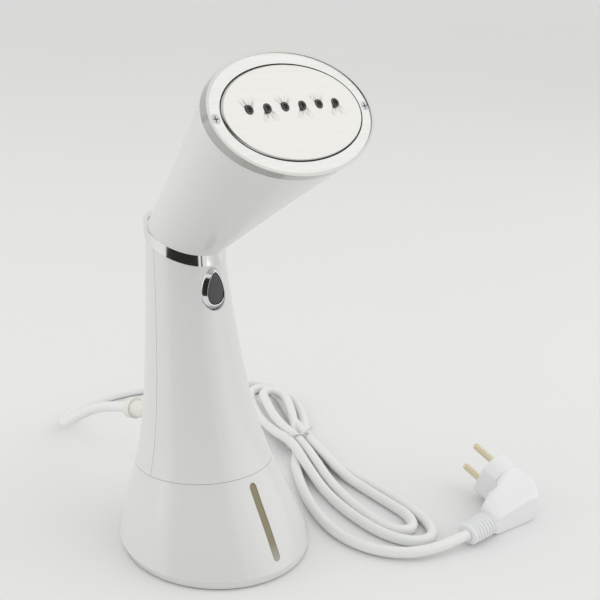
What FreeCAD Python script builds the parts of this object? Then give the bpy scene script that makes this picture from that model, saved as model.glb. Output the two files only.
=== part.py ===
"""Hand-held garment steamer: flared handle on a water tank, tilted oval steam head, mains lead.

Millimetres, +Z up, front (face, trigger, water window) towards -Y, +X to the steamer's left
as seen from the front. The origin is the centre of the foot pad's underside, on the floor.
"""
import FreeCAD, Part
import math
import os
from FreeCAD import Placement, Rotation, Vector

# ---- overall sizes -------------------------------------------------------------------------
BASE_R = 59.0            # largest radius, just above the bottom lip
NECK_R = 23.7            # radius of the handle at the neck ring
NECK_Z = 184.0           # height of the neck ring's lower face on the handle's centre line
SETBACK = 39.6           # how far the neck stands behind the base's centre
BOW = 14.0               # extra rearward bow of the centre line at mid height
WALL = 2.2               # moulded walls
HAIRLINE = 0.25          # visible parting gap between fixed covers
RUN_GAP = 0.35           # clearance between pieces that slide past each other

# Share of height, share of flare: 1 is the base radius, 0 is the neck radius.
FLARE = [(0.030, 1.0), (0.105, 0.885), (0.18, 0.740), (0.26, 0.575), (0.34, 0.435), (0.43, 0.325),
         (0.52, 0.245), (0.73, 0.115), (0.90, 0.03), (1.0, 0.0), (1.12, -0.02)]

# ---- water tank ----------------------------------------------------------------------------
PAD_T = 1.0              # foot pad under the tank
PAD_R = 50.0
LIP_IN = 2.0             # how far the lip tucks in at the floor
TANK_FLOOR = 2.6
SEAM_Z = 51.7            # tank to handle seam on the centre line
SEAM_TILT = 4.4          # degrees, seam rises towards the front
WINDOW_W = 5.2           # water level window
WINDOW_LOW = 12.6        # centres of the window's round ends
WINDOW_HIGH = 48.6
WINDOW_SUNK = 0.5
DECK_Z = 41.0            # underside of the tank's top deck
DECK_T = 2.4
MOUTH_R = 13.0           # filling mouth in the deck
MOUTH_RIM = 3.0
MOUTH_Y = 11.0
SEAL_T = 1.6             # mouth seal's section

# ---- handle inner parts --------------------------------------------------------------------
BULKHEAD_RISE = 5.0      # bulkhead underside above the seam line
BULKHEAD_T = 2.6
SPIGOT_WALL = 1.8
SPIGOT_DIP = 2.0         # spigot's end below the deck's top
SUCTION_R = 3.0
SUCTION_BORE = 1.8
SUCTION_END_Z = 9.0
FILTER_R = 5.5
FILTER_L = 9.0
PUMP_AT = 44.0           # along the handle from the bulkhead centre
PUMP_R = 12.0
PUMP_L = 30.0
PUMP_CORE_R = 5.2
PUMP_CORE_WALL = 1.0
PUMP_CORE_OUT = 9.0      # core tube beyond each end of the coil
ARMATURE_L = 14.0
PUMP_STROKE = 3.0
BRACKET_T = 2.4
HOSE_R = 3.0
HOSE_BORE = 1.7

# ---- trigger -------------------------------------------------------------------------------
TRIGGER_Z = 163.9        # height of the trigger's centre
TRIGGER_PITCH = 8.0      # degrees, face leans back with the handle's front
TEAR_R = 8.9             # bezel: radius of the round lower end
TEAR_TIP_R = 4.8         # bezel: radius of the pointed upper end
TEAR_RISE = 11.6         # between the two centres
BEZEL_W = 2.8            # across its sloping face
BEZEL_CREST = 0.6        # flat crest round the button
BEZEL_FOOT = 0.6         # outer edge of the slope, behind the front plane
BEZEL_PROUD = 1.6
TRIGGER_PROUD = 1.4
TRIGGER_TRAVEL = 2.0
TRIGGER_STEM_R = 2.2
TRIGGER_DEPTH = 7.0
BUTTON_SKIN = 1.6
SPRING_ROOM_R = 4.4
SHELF_H = 16.0           # height of the shelf that carries the switch
SWITCH = (6.4, 9.0, 19.8)  # micro switch: width, depth, height
PLUNGER_R = 1.2

# ---- neck ring and head --------------------------------------------------------------------
RING_TILT = 18.2
RING_H = 6.2
RING_PROUD = 0.45
FACE_Y = -47.0           # centre of the face's front plane
FACE_Z = 274.6
FACE_PITCH = 33.9        # face normal above the horizontal
FACE_A = 58.7            # half width, along X
FACE_B = 35.5            # half height
RIM_W = 1.7
RIM_DEPTH = 5.5
FLANGE_T = 1.2
FLANGE_SUNK = 0.5
PLATE_A = 49.6
PLATE_B = 26.9
PLATE_T = 2.4
PLATE_PROUD = 0.3
PLATE_GAP = 0.7
HOLE_COUNT = 6
HOLE_PITCH = 12.5
HOLE_RISE = 3.2
NOZZLE_R = 2.7
NOZZLE_BORE = 1.5
FACE_SCREW_X = 54.1
SCREW_HEAD_R = 2.8
SCREW_R = 1.4
BOILER_MARGIN = 2.4      # boiler is this much smaller all round than the plate
BOILER_T = 19.0
CHAMBER_WALL = 4.0
JACKET_T = 1.0
ELEMENT_W = 6.0
HEAD_PINCH = 1.6         # how much the head's middle section is slimmer than a straight taper

# ---- cord ----------------------------------------------------------------------------------
CORD_R = 3.5
FLOOR_Z = CORD_R + 0.2
GLAND_ROOT = Vector(0, 50.0, 67.0)
GLAND_END = Vector(0, 91.0, 56.5)
GLAND_R = 5.6
GLAND_COLLAR_R = 6.9
GLAND_COLLAR_L = 6.0
LEAD_IN = [GLAND_END, Vector(-2, 108, 52), Vector(-4, 127, 44), Vector(-5, 146, 31), Vector(-2, 164, 18),
           Vector(5, 182, 9), Vector(20, 199, FLOOR_Z), Vector(43, 208, FLOOR_Z), Vector(69, 210, FLOOR_Z),
           Vector(96, 206, FLOOR_Z), Vector(121, 196, FLOOR_Z), Vector(143, 184, FLOOR_Z),
           Vector(163, 171, FLOOR_Z), Vector(176, 154, FLOOR_Z)]
LEAD_OUT = [Vector(103, 34, FLOOR_Z), Vector(87, 13, FLOOR_Z), Vector(73, -9, FLOOR_Z),
            Vector(62, -33, FLOOR_Z), Vector(57.5, -56, FLOOR_Z), Vector(61.5, -77, 3.9),
            Vector(74, -94.5, 4.8), Vector(93, -104.5, 6.4), Vector(117, -107.5, 7.9)]
HANK_H = 15.0            # hank height at its tie
LOOP_H = 11.5            # hank height in its loops
TIE_AT = Vector(124, 52, 0)
TIE_TURN = 72.0          # degrees, direction of the strands under the tie
WAIST = (23.0, 18.0)     # hank at the tie: across and along
LOW_LOOP = (Vector(107.0, -20.5, 0), 74.0, 23.0, 82.5)     # centre, half length, half width, direction
HIGH_LOOP = (Vector(157.5, 108.5, 0), 67.0, 19.5, 62.5)
TIE_W = 3.4
TIE_T = 0.6

# ---- plug ----------------------------------------------------------------------------------
PLUG_AXIS = Vector(1.0, 0.01, 0.0)       # from the strain relief into the plug
PLUG_ROLL = 19.0                         # degrees, pins tip up about that axis
RELIEF_L = 22.0
RELIEF_R = 5.4
RELIEF_END_R = 6.4
RELIEF_WIDE = 1.3        # strain relief is this much wider along the pins
RIBS = 6
PLUG_FRONT = 30.5        # from the lead's line to the plug's front face
DISC_R = 16.0
DISC_RISE = 1.4          # disc centre above the lead's line
DISC_T = 12.0
DISC_AT = 41.0           # disc centre beyond the strain relief
FACET_X = 13.4           # flats on the disc's two sides: distance, width and start
FACET_W = 20.0
FACET_FROM = 14.0
PIN_R = 2.4
PIN_L = 19.0
PIN_PITCH = 19.0

os.makedirs("parts", exist_ok=True)
X, Y, Z = Vector(1, 0, 0), Vector(0, 1, 0), Vector(0, 0, 1)
FAR = 400.0


# ---- helpers -------------------------------------------------------------------------------
def save(name, shape):
    """Write one closed piece, or a group of identical ones."""
    if not shape.isValid() or not shape.Solids:
        raise ValueError(name + " is not a valid solid")
    solids = shape.Solids
    out = solids[0] if len(solids) == 1 else Part.makeCompound(solids)
    out.exportStep("parts/" + name + ".step")


def frame(origin, x_axis, z_axis):
    """A placement whose local X and Z lie along the two axes given."""
    return Placement(origin, Rotation(x_axis, z_axis.cross(x_axis), z_axis, "ZXY"))


def placed(shape, placement):
    out = shape.copy()
    out.Placement = placement.multiply(out.Placement)
    return out


def tube(r_out, r_in, low, high):
    """A round tube along local Z; r_in of 0 gives a rod."""
    rod = Part.makeCylinder(r_out, high - low, Vector(0, 0, low))
    if r_in > 0:
        rod = rod.cut(Part.makeCylinder(r_in, high - low + 2, Vector(0, 0, low - 1)))
    return rod


def oval(a, b, low, high):
    """An elliptical disc along local Z."""
    edge = Part.Ellipse(Vector(0, 0, low), a, b).toShape()
    return Part.Face(Part.Wire(edge)).extrude(Vector(0, 0, high - low))


def block(x, y, z, low=0.0):
    """A box centred on local Z."""
    return Part.makeBox(x, y, z, Vector(-x / 2, -y / 2, low))


def half_space(point, normal):
    """A large block on the side of a plane that the normal points to."""
    box = Part.makeBox(2 * FAR, 2 * FAR, FAR, Vector(-FAR, -FAR, 0))
    box.Placement = Placement(point, Rotation(Z, normal))
    return box


def route(points):
    """Straight runs joined by tangent arcs, and the arcs' radii."""
    edges, radii, start = [], [], points[0]
    for before, here, after in zip(points, points[1:], points[2:]):
        to_here, onward = here - before, after - here
        half = to_here.getAngle(onward) / 2
        cut_back = 0.45 * min(to_here.Length, onward.Length)
        radii.append(cut_back / math.tan(half))
        into, out = Vector(to_here).normalize(), Vector(onward).normalize()
        a, b = here - into * cut_back, here + out * cut_back
        bisector = (out - into).normalize()
        mid = here + bisector * (radii[-1] / math.cos(half) - radii[-1])
        edges += [Part.LineSegment(start, a).toShape(), Part.Arc(a, mid, b).toShape()]
        start = b
    edges.append(Part.LineSegment(start, points[-1]).toShape())
    return Part.Wire(edges), radii


def sweep(points, radius):
    """A round cord or hose along a route, checked against its section times its length."""
    path, radii = route(points)
    circle = Part.Circle(points[0], points[1] - points[0], radius).toShape()
    solid = path.makePipeShell([Part.Wire(circle)], True, False)
    expect = math.pi * radius ** 2 * path.Length
    if abs(solid.Volume / expect - 1) > 0.02:
        raise ValueError("a sweep has the wrong volume")
    return solid, radii, path.Length


def coil_spring(coil_r, wire_r, length, turns):
    """A wire spring from local z = 0 upwards, in short facets."""
    pitch = (length - 2 * wire_r) / turns
    steps, sides, rings = int(turns * 12), 8, []
    for i in range(steps + 1):
        turn = 2 * math.pi * i / 12
        out = Vector(math.cos(turn), math.sin(turn), 0)
        centre = out * coil_r + Z * (wire_r + pitch * i / 12)
        corners = []
        for j in range(sides):
            a = 2 * math.pi * (j + 0.5) / sides
            corners.append(centre + out * (wire_r * math.cos(a)) + Z * (wire_r * math.sin(a)))
        rings.append(Part.makePolygon(corners + corners[:1]))
    return Part.makeLoft(rings, True, True)


def cross_recess(radius, depth):
    """The cutter for a screw's cross recess, downwards from local z = 0."""
    bar = block(2 * radius, radius * 0.36, depth, -depth)
    return bar.fuse(placed(bar, Placement(Vector(), Rotation(Z, 90))))


# ---- the flared body's outline -------------------------------------------------------------
def setback(z):
    """Rearward offset of the body's centre line at a height."""
    u = z / NECK_Z
    return SETBACK * u + BOW * u * (1 - u)


def body_loft(offset):
    """The flared body from the lip's top to above the neck, drawn in by an offset."""
    rings = []
    for share, flare in FLARE:
        z = share * NECK_Z
        radius = NECK_R + (BASE_R - NECK_R) * flare - offset
        rings.append(Part.Wire(Part.Circle(Vector(0, setback(z), z), Z, radius).toShape()))
    return Part.makeLoft(rings, True, False)


def body_radius(z):
    """Outer radius of the body at a height."""
    cut = OUTER.slice(Z, z)[0].BoundBox
    return cut.XLength / 2


def seam_plane(lift):
    """Point and normal of the tank seam, lifted along Z."""
    tilt = math.radians(SEAM_TILT)
    return Vector(0, setback(SEAM_Z), SEAM_Z + lift), Vector(0, math.sin(tilt), math.cos(tilt))


def ring_plane(height):
    """Point and normal of the neck ring's mitre, a height above its lower face."""
    tilt = math.radians(RING_TILT)
    normal = Vector(0, -math.sin(tilt), math.cos(tilt))
    return Vector(0, setback(NECK_Z), NECK_Z) + normal * height, normal


OUTER = body_loft(0)
INNER = body_loft(WALL)
LIP_TOP = FLARE[0][0] * NECK_Z


# ---- water tank ----------------------------------------------------------------------------
def make_tank():
    seam_point, seam_normal = seam_plane(0)
    lip_r = BASE_R - LIP_IN
    lip = Part.makeLoft([
        Part.Wire(Part.Circle(Vector(0, 0, PAD_T), Z, lip_r).toShape()),
        Part.Wire(Part.Circle(Vector(0, setback(LIP_TOP), LIP_TOP), Z, BASE_R).toShape())], True, True)
    shell = OUTER.fuse(lip).cut(half_space(seam_point, seam_normal))
    hollow = INNER.cut(half_space(Vector(0, 0, TANK_FLOOR + PAD_T), Z * -1))
    shell = shell.cut(hollow)
    recess = tube(PAD_R + HAIRLINE, 0, 0, PAD_T + 0.8)
    shell = shell.cut(recess)
    slot = window_prism(WINDOW_W / 2)
    window_skin = body_loft(WINDOW_SUNK).cut(INNER)
    save("tank_window", window_skin.common(slot))
    save("water_tank", shell.cut(slot))
    save("foot_pad", tube(PAD_R, 0, 0, PAD_T + 0.8))

    deck = INNER.common(tube(FAR, 0, DECK_Z, DECK_Z + DECK_T))
    rim = tube(MOUTH_R + 2.2, 0, DECK_Z, DECK_Z + DECK_T + MOUTH_RIM)
    rim.translate(Vector(0, MOUTH_Y, 0))
    bore = tube(MOUTH_R, 0, DECK_Z - 1, DECK_Z + DECK_T + MOUTH_RIM + 1)
    bore.translate(Vector(0, MOUTH_Y, 0))
    save("tank_deck", deck.fuse(rim).cut(bore))
    seal_low = DECK_Z + DECK_T
    seal = tube(MOUTH_R, MOUTH_R - SEAL_T, seal_low, seal_low + MOUTH_RIM)
    seal.translate(Vector(0, MOUTH_Y, 0))
    save("mouth_seal", seal)


def window_prism(radius):
    """The water window's slot through the front wall, round at both ends."""
    low = Part.makeCylinder(radius, FAR, Vector(0, 0, WINDOW_LOW), Y * -1)
    high = Part.makeCylinder(radius, FAR, Vector(0, 0, WINDOW_HIGH), Y * -1)
    run = Part.makeBox(2 * radius, FAR, WINDOW_HIGH - WINDOW_LOW, Vector(-radius, -FAR, WINDOW_LOW))
    return low.fuse([high, run]).removeSplitter()


# ---- handle covers -------------------------------------------------------------------------
def make_handle_covers(openings):
    """Front and rear covers between the tank seam and the neck ring."""
    low_point, low_normal = seam_plane(HAIRLINE)
    top_point, top_normal = ring_plane(0)
    shell = OUTER.cut(INNER)
    shell = shell.common(half_space(low_point, low_normal)).cut(half_space(top_point, top_normal))
    for cutter in openings:
        shell = shell.cut(cutter)
    low = Vector(0, setback(SEAM_Z), SEAM_Z)
    high = Vector(0, setback(NECK_Z), NECK_Z)
    normal = (high - low).cross(X).normalize()
    if normal.y < 0:
        normal = normal * -1
    rear = shell.common(half_space(low + normal * (HAIRLINE / 2), normal))
    front = shell.common(half_space(low - normal * (HAIRLINE / 2), normal * -1))
    save("front_cover", front)
    save("rear_cover", rear)


def make_neck_ring():
    low_point, low_normal = ring_plane(0)
    top_point, top_normal = ring_plane(RING_H)
    ring = body_loft(-RING_PROUD).cut(INNER)
    ring = ring.common(half_space(low_point, low_normal)).cut(half_space(top_point, top_normal))
    save("neck_ring", ring)


# ---- trigger -------------------------------------------------------------------------------
def drop_wire(grow, level):
    """A drop outline, point upwards, grown by an offset, at a height along local Z."""
    big, small, rise = TEAR_R + grow, TEAR_TIP_R + grow, TEAR_RISE
    centre_low, centre_high = Vector(0, -rise / 2, level), Vector(0, rise / 2, level)
    lean = math.asin((big - small) / rise)
    side = Vector(math.cos(lean), math.sin(lean), 0)
    mirror = Vector(-side.x, side.y, 0)
    return Part.Wire([
        Part.Arc(centre_low + mirror * big, centre_low - Y * big, centre_low + side * big).toShape(),
        Part.LineSegment(centre_low + side * big, centre_high + side * small).toShape(),
        Part.Arc(centre_high + side * small, centre_high + Y * small,
                 centre_high + mirror * small).toShape(),
        Part.LineSegment(centre_high + mirror * small, centre_low + mirror * big).toShape()])


def trigger_frame():
    """Origin on the handle's front surface, local Z outwards, local Y up."""
    pitch = math.radians(TRIGGER_PITCH)
    front = setback(TRIGGER_Z) - body_radius(TRIGGER_Z)
    out = Vector(0, -math.cos(pitch), math.sin(pitch))
    return frame(Vector(0, front, TRIGGER_Z), X, out)


def teardrop(grow, low, high):
    """A drop prism, point upwards, grown by an offset."""
    return Part.Face(drop_wire(grow, low)).extrude(Vector(0, 0, high - low))


def make_trigger():
    """Bezel, button, spring and switch. Returns the cutter for the front cover."""
    place = trigger_frame()
    stem_place = place.multiply(Placement(Vector(0, -TEAR_RISE / 2, 0), Rotation()))
    crest = drop_wire(-BEZEL_W + BEZEL_CREST, BEZEL_PROUD)
    slope = Part.makeLoft([drop_wire(-HAIRLINE, -BEZEL_FOOT), crest], True, True)
    sleeve = teardrop(-HAIRLINE, -TRIGGER_DEPTH, -BEZEL_FOOT).fuse(slope)
    sleeve = sleeve.cut(teardrop(-BEZEL_W, -TRIGGER_DEPTH - 1, BEZEL_PROUD + 1))
    save("trigger_bezel", placed(sleeve, place))
    button_low = -TRIGGER_DEPTH + TRIGGER_TRAVEL + 0.4
    skin_low = TRIGGER_PROUD - BUTTON_SKIN
    stem_low = -TRIGGER_DEPTH - 1.5
    button = placed(teardrop(-BEZEL_W - RUN_GAP, button_low, TRIGGER_PROUD), place)
    button = button.cut(placed(tube(SPRING_ROOM_R, 0, button_low - 1, skin_low), stem_place))
    button = button.fuse(placed(tube(TRIGGER_STEM_R, 0, stem_low, TRIGGER_PROUD - 1.0), stem_place))
    save("trigger_button", button)
    guide_low = -TRIGGER_DEPTH - 2.2
    guide = placed(teardrop(-HAIRLINE, guide_low, -TRIGGER_DEPTH), place)
    guide_bore = tube(TRIGGER_STEM_R + RUN_GAP, 0, guide_low - 1, -TRIGGER_DEPTH + 1)
    save("trigger_guide", guide.cut(placed(guide_bore, stem_place)))
    spring = coil_spring(TRIGGER_STEM_R + 1.0, 0.3, skin_low + TRIGGER_DEPTH - 0.3, 4)
    spring.translate(Vector(0, 0, -TRIGGER_DEPTH + 0.1))
    save("trigger_spring", placed(spring, stem_place))
    travel_end = stem_low - TRIGGER_TRAVEL
    plunger = tube(PLUNGER_R, 0, travel_end - 2.6, stem_low - 0.2)
    save("switch_plunger", placed(plunger, stem_place))
    switch_top = travel_end - 0.4
    switch = block(SWITCH[0], SWITCH[2], SWITCH[1], switch_top - SWITCH[1])
    well = tube(PLUNGER_R + RUN_GAP, 0, switch_top - 5.0, switch_top + 1)
    save("micro_switch", placed(switch.cut(well), stem_place))
    shelf_low = switch_top - SWITCH[1] - BRACKET_T
    shelf = placed(block(2 * NECK_R + 20, SHELF_H, BRACKET_T, shelf_low), stem_place)
    save("switch_bracket", shelf.common(INNER))
    return placed(teardrop(0, -TRIGGER_DEPTH - 4, BEZEL_PROUD + 6), place)


# ---- pump, tank connection and hoses -------------------------------------------------------
def stem_frame(z):
    """A frame on the handle's leaning centre line at a height."""
    lean = Vector(0, setback(NECK_Z) - setback(SEAM_Z), NECK_Z - SEAM_Z).normalize()
    return frame(Vector(0, setback(z), z), X, lean)


def make_water_path():
    bulkhead_z = SEAM_Z + BULKHEAD_RISE
    bulkhead = INNER.common(tube(FAR, 0, bulkhead_z, bulkhead_z + BULKHEAD_T))
    spigot_r = MOUTH_R - SEAL_T - RUN_GAP
    spigot_low = DECK_Z + DECK_T - SPIGOT_DIP
    spigot = tube(spigot_r, spigot_r - SPIGOT_WALL, spigot_low, bulkhead_z)
    spigot.translate(Vector(0, MOUTH_Y, 0))
    hole = tube(SUCTION_R, 0, bulkhead_z - 1, bulkhead_z + BULKHEAD_T + 1)
    hole.translate(Vector(0, MOUTH_Y, 0))
    save("bulkhead", bulkhead.fuse(spigot).cut(hole))

    suction_top = bulkhead_z + BULKHEAD_T + 6.0
    suction = tube(SUCTION_R, SUCTION_BORE, SUCTION_END_Z, suction_top)
    suction.translate(Vector(0, MOUTH_Y, 0))
    save("suction_tube", suction)
    strainer = tube(FILTER_R, SUCTION_R, SUCTION_END_Z - 1.5, SUCTION_END_Z + FILTER_L)
    cap = tube(FILTER_R, 0, SUCTION_END_Z - 3.0, SUCTION_END_Z - 1.5)
    strainer = strainer.fuse(cap)
    strainer.translate(Vector(0, MOUTH_Y, 0))
    save("inlet_filter", strainer)

    pump_z = bulkhead_z + PUMP_AT
    place = stem_frame(pump_z)
    save("pump_coil", placed(tube(PUMP_R, PUMP_CORE_R, 0, PUMP_L), place))
    core_in = PUMP_CORE_R - PUMP_CORE_WALL
    core = tube(PUMP_CORE_R, core_in, -PUMP_CORE_OUT, PUMP_L + PUMP_CORE_OUT)
    ends = [tube(core_in, HOSE_BORE, -PUMP_CORE_OUT, -PUMP_CORE_OUT + 3),
            tube(core_in, HOSE_BORE, PUMP_L + PUMP_CORE_OUT - 3, PUMP_L + PUMP_CORE_OUT)]
    save("pump_core", placed(core.fuse(ends), place))
    armature_low = -PUMP_CORE_OUT + 3.2
    armature = tube(core_in - RUN_GAP, HOSE_BORE, armature_low, armature_low + ARMATURE_L)
    save("pump_armature", placed(armature, place))
    spring_low = armature_low + ARMATURE_L + 0.1
    spring_high = PUMP_L + PUMP_CORE_OUT - 3.2
    spring = coil_spring(core_in - RUN_GAP - 0.7, 0.45, spring_high - spring_low, 7)
    spring.translate(Vector(0, 0, spring_low))
    save("pump_spring", placed(spring, place))
    yoke = block(2 * PUMP_R + 1, 2 * PUMP_R - 6, BRACKET_T, -BRACKET_T)
    yoke = yoke.fuse(block(2 * PUMP_R + 1, 2 * PUMP_R - 6, BRACKET_T, PUMP_L))
    yoke = yoke.cut(tube(PUMP_CORE_R, 0, -BRACKET_T - 1, PUMP_L + BRACKET_T + 1))
    save("pump_yoke", placed(yoke, place))

    pump_in = place.multVec(Vector(0, 0, -PUMP_CORE_OUT))
    up = place.Rotation.multVec(Z)
    tube_top = Vector(0, MOUTH_Y, suction_top)
    rise = pump_in - tube_top
    inlet = [tube_top, tube_top + Vector(0, 0.6, rise.z * 0.28), pump_in - up * (rise.z * 0.30), pump_in]
    save("inlet_hose", sweep(inlet, HOSE_R)[0])
    pump_out = place.multVec(Vector(0, 0, PUMP_L + PUMP_CORE_OUT))
    boiler_in = face_frame().multVec(Vector(0, -4.0, -PLATE_T - BOILER_T))
    inward = face_frame().Rotation.multVec(Z) * -1
    outlet = [pump_out, pump_out + up * 22 + Vector(0, 4, 0), ring_plane(RING_H)[0] + Vector(0, 2, 10),
              boiler_in + inward * 24, boiler_in + inward * 3]
    save("outlet_hose", sweep(outlet, HOSE_R)[0])


# ---- head ----------------------------------------------------------------------------------
def face_frame():
    """Origin in the face's front plane, local X across, local Y up the face, local Z forward."""
    pitch = math.radians(FACE_PITCH)
    return frame(Vector(0, FACE_Y, FACE_Z), X, Vector(0, -math.cos(pitch), math.sin(pitch)))


def head_section(centre, tilt, a, b):
    """An elliptical wire whose plane's normal leans forward by a tilt."""
    unit = Part.Wire(Part.Circle(Vector(), Z, 1.0).toShape())
    grow = FreeCAD.Matrix()
    grow.scale(a, b, 1.0)
    wire = unit.transformGeometry(grow)
    angle = math.radians(tilt)
    wire.Placement = frame(centre, X, Vector(0, -math.sin(angle), math.cos(angle)))
    return wire


def head_loft(offset, lengthen=0.0):
    """The head's skin from the neck ring to the rim, drawn in by an offset."""
    ring_centre, ring_normal = ring_plane(RING_H - lengthen)
    neck_b = NECK_R / math.cos(math.radians(RING_TILT)) / math.cos(math.radians(LEAN_CORRECTION))
    face_tilt = 90 - FACE_PITCH
    end_centre = face_frame().multVec(Vector(0, 0, -RIM_DEPTH + lengthen))
    rim_a, rim_b = FACE_A - offset, FACE_B - offset
    middle = (ring_centre + end_centre) * 0.5
    return Part.makeLoft([
        head_section(ring_centre, RING_TILT, NECK_R - offset, neck_b - offset),
        head_section(middle, (RING_TILT + face_tilt) / 2,
                     (NECK_R + FACE_A) / 2 - HEAD_PINCH - offset,
                     (neck_b + FACE_B) / 2 - HEAD_PINCH - offset),
        head_section(end_centre, face_tilt, rim_a, rim_b)], True, False)


LEAN_CORRECTION = 3.0    # degrees, the neck's lean at the ring, which lengthens its mitre a little


def make_head():
    place = face_frame()
    shell = head_loft(0).cut(head_loft(WALL, 0.5))
    save("head_shell", shell)

    def on_face(name, shape):
        save(name, placed(shape, place))

    rim_in = (FACE_A - RIM_W, FACE_B - RIM_W)
    rim = oval(FACE_A, FACE_B, -RIM_DEPTH, 0).cut(oval(*rim_in, -RIM_DEPTH - 1, 1))
    on_face("face_rim", rim)
    step = PLATE_GAP
    flange_in = (PLATE_A + step, PLATE_B + step)
    screw_at = [Vector(s * FACE_SCREW_X, 0, 0) for s in (-1, 1)]
    flange_top = -FLANGE_SUNK
    flange = oval(*rim_in, flange_top - FLANGE_T, flange_top)
    flange = flange.cut(oval(*flange_in, flange_top - FLANGE_T - 1, 1))
    carrier_low = -RIM_DEPTH - 4.0
    carrier = oval(*rim_in, -RIM_DEPTH, flange_top - FLANGE_T)
    inner_a, inner_b = FACE_A - WALL - 1.6, FACE_B - WALL - 1.6
    carrier = carrier.fuse(oval(inner_a, inner_b, carrier_low, -RIM_DEPTH))
    carrier = carrier.cut(oval(*flange_in, carrier_low - 1, 1))
    heads, screws = [], []
    for at in screw_at:
        head = Part.makeCone(SCREW_R, SCREW_HEAD_R, FLANGE_T, Vector(0, 0, flange_top - FLANGE_T))
        shank = tube(SCREW_R, 0, carrier_low + 1.5, flange_top - FLANGE_T)
        screw = head.fuse(shank)
        hole = screw.copy()
        hole.translate(at)
        flange, carrier = flange.cut(hole), carrier.cut(hole)
        recess = cross_recess(SCREW_HEAD_R * 0.62, 1.0)
        recess.translate(Vector(0, 0, flange_top))
        screw = screw.cut(recess)
        screw.translate(at)
        screws.append(screw)
    on_face("face_flange", flange)
    on_face("face_carrier", carrier)
    on_face("face_screws", Part.makeCompound(screws))

    plate_low = PLATE_PROUD - PLATE_T
    plate = oval(PLATE_A, PLATE_B, plate_low, PLATE_PROUD)
    nozzles = []
    for i in range(HOLE_COUNT):
        at = Vector((i - (HOLE_COUNT - 1) / 2) * HOLE_PITCH, HOLE_RISE, 0)
        hole = tube(NOZZLE_R, 0, plate_low - 1, PLATE_PROUD + 1)
        hole.translate(at)
        plate = plate.cut(hole)
        nozzle = tube(NOZZLE_R, NOZZLE_BORE, plate_low, PLATE_PROUD - 0.5)
        nozzle.translate(at)
        nozzles.append(nozzle)
    on_face("steam_plate", plate)
    on_face("steam_nozzles", Part.makeCompound(nozzles))
    gasket = oval(*flange_in, plate_low - 1.0, flange_top - FLANGE_T)
    gasket = gasket.cut(oval(PLATE_A, PLATE_B, plate_low - 2.0, 1))
    on_face("plate_gasket", gasket)

    boiler_a, boiler_b = PLATE_A - BOILER_MARGIN, PLATE_B - BOILER_MARGIN
    boiler_low = plate_low - BOILER_T
    boiler = oval(boiler_a, boiler_b, boiler_low, plate_low)
    chamber = oval(boiler_a - CHAMBER_WALL, boiler_b - CHAMBER_WALL, boiler_low + 8.0, plate_low + 1)
    inlet = tube(HOSE_BORE, 0, boiler_low - 1, boiler_low + 9)
    inlet.translate(Vector(0, -4.0, 0))
    on_face("boiler_block", boiler.cut(chamber).cut(inlet))
    jacket = oval(boiler_a + JACKET_T, boiler_b + JACKET_T, boiler_low + 1, plate_low - 2.0)
    jacket = jacket.cut(oval(boiler_a, boiler_b, boiler_low - 1, plate_low + 1))
    on_face("insulation_jacket", jacket)
    ring_a, ring_b = boiler_a * 0.70, boiler_b * 0.70
    element = oval(ring_a, ring_b, boiler_low - 3.0, boiler_low)
    element = element.cut(oval(ring_a - ELEMENT_W, ring_b - ELEMENT_W, boiler_low - 4.0, boiler_low + 1))
    on_face("heating_element", element)
    thermostat = tube(4.6, 0, boiler_low - 5.0, boiler_low)
    thermostat.translate(Vector(14, 0, 0))
    on_face("thermostat", thermostat)
    fuse = block(9, 4.4, 4.0, boiler_low - 4.0)
    fuse.translate(Vector(-14, 0, 0))
    on_face("thermal_fuse", fuse)


# ---- mains entry ---------------------------------------------------------------------------
def make_mains_entry():
    """Gland, clamp and terminals. Returns the cutter for the rear cover."""
    along = GLAND_END - GLAND_ROOT
    place = frame(GLAND_ROOT, X, Vector(along).normalize())
    length = along.Length
    sleeve = tube(GLAND_R, CORD_R, 0, length - GLAND_COLLAR_L)
    collar = tube(GLAND_COLLAR_R, CORD_R, length - GLAND_COLLAR_L, length)
    inner_flange = tube(GLAND_COLLAR_R + 1.2, CORD_R, -2.4, 0)
    save("cord_gland", placed(sleeve.fuse([collar, inner_flange]), place))
    tail = tube(CORD_R, 0, -9.0, length)
    save("cord_tail", placed(tail, place))
    jaw = block(4 * CORD_R, 5.0, 5.0, -8.4)
    jaw.translate(Vector(0, CORD_R + 2.5, 0))
    base = block(4 * CORD_R, 5.0, 5.0, -8.4)
    base.translate(Vector(0, -CORD_R - 2.5, 0))
    save("cord_clamp", placed(Part.makeCompound([jaw, base]), place))
    terminal = block(18, 9, 8)
    terminal.translate(Vector(0, setback(SEAM_Z) - 16, SEAM_Z + BULKHEAD_RISE + BULKHEAD_T))
    save("terminal_block", terminal)
    return placed(tube(GLAND_R + HAIRLINE, 0, 0.5, length), place)


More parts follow.
